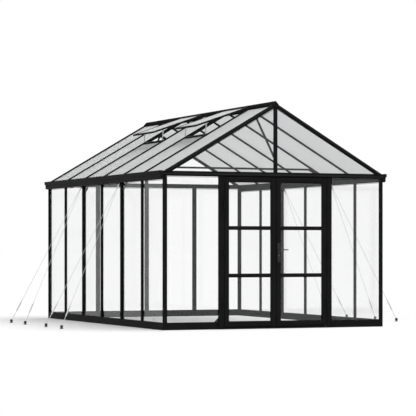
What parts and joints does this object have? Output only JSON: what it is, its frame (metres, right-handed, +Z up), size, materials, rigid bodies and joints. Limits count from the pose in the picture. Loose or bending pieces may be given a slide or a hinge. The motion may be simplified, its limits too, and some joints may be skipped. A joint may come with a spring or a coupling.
{
  "type": "polycarbonate greenhouse",
  "caption": "Walk-in pitched-roof greenhouse: black metal frame, clear sheet walls, twin-wall roof with propped-open vents, glazed double doors and guy wires",
  "frame": {"origin": "on the ground at the middle of the outline, frame and ground anchors together", "axes": "+Z up; the doors face -Y; the roof slope with the vents faces -X"},
  "size_m": [5.052, 4.5663, 2.823],
  "materials": {
    "frame": "powder-coated aluminium, near-black satin",
    "fittings": "black moulded and cast fittings",
    "clear_sheet": "clear polycarbonate sheet",
    "roof_sheet": "translucent twin-wall polycarbonate",
    "steel": "galvanised steel wire and stays",
    "handle": "dark grey coated metal"
  },
  "bodies": {
    "greenhouse": {"side_base_rails": "frame", "end_base_rails": "frame", "door_threshold": "frame", "corner_posts": "frame", "side_wall_posts": "frame", "truss_posts": "frame", "back_wall_posts": "frame", "door_jambs": "frame", "end_beams": "frame", "eave_gutters": "frame", "end_caps": "fittings", "ridge_beam": "frame", "gable_rafters": "frame", "roof_bars": "frame", "gable_posts": "frame", "gable_braces": "frame", "truss_ties": "frame", "truss_struts": "frame", "knee_braces": "frame", "corner_gussets": "frame", "side_wall_panels": "clear_sheet", "end_wall_panels": "clear_sheet", "gable_panels": "clear_sheet", "left_roof_panels": "roof_sheet", "right_roof_panels": "roof_sheet", "vent_bars": "frame", "vent_side_rails": "frame", "vent_end_rails": "frame", "vent_panels": "roof_sheet", "vent_stays": "steel", "jamb_hinges": "fittings", "wire_brackets": "fittings", "guy_wires": "steel", "turnbuckles": "steel", "ground_anchors": "handle"},
    "left_door": {"left_door_stiles": "frame", "left_door_rails": "frame", "left_door_panes": "clear_sheet", "left_door_hinges": "fittings"},
    "right_door": {"right_door_stiles": "frame", "right_door_rails": "frame", "right_door_panes": "clear_sheet", "right_door_hinges": "fittings", "handle_plates": "handle"},
    "lever": {"door_lever": "handle"}
  },
  "joints": [
    {"name": "left_door_hinge", "type": "hinge", "parent": "greenhouse", "child": "left_door", "pos_m": [-0.701, -2.274, 0.96], "axis": [0, 0, -1], "range_deg": [0, 120]},
    {"name": "right_door_hinge", "type": "hinge", "parent": "greenhouse", "child": "right_door", "pos_m": [0.701, -2.274, 0.96], "axis": [0, 0, 1], "range_deg": [0, 120]},
    {"name": "lever_turn", "type": "hinge", "parent": "right_door", "child": "lever", "pos_m": [0.0365, -2.265, 0.975], "axis": [0, 1, 0], "range_deg": [0, 45], "stiffness_Nm_per_rad": 0.8, "springref_deg": -22.92}
  ]
}
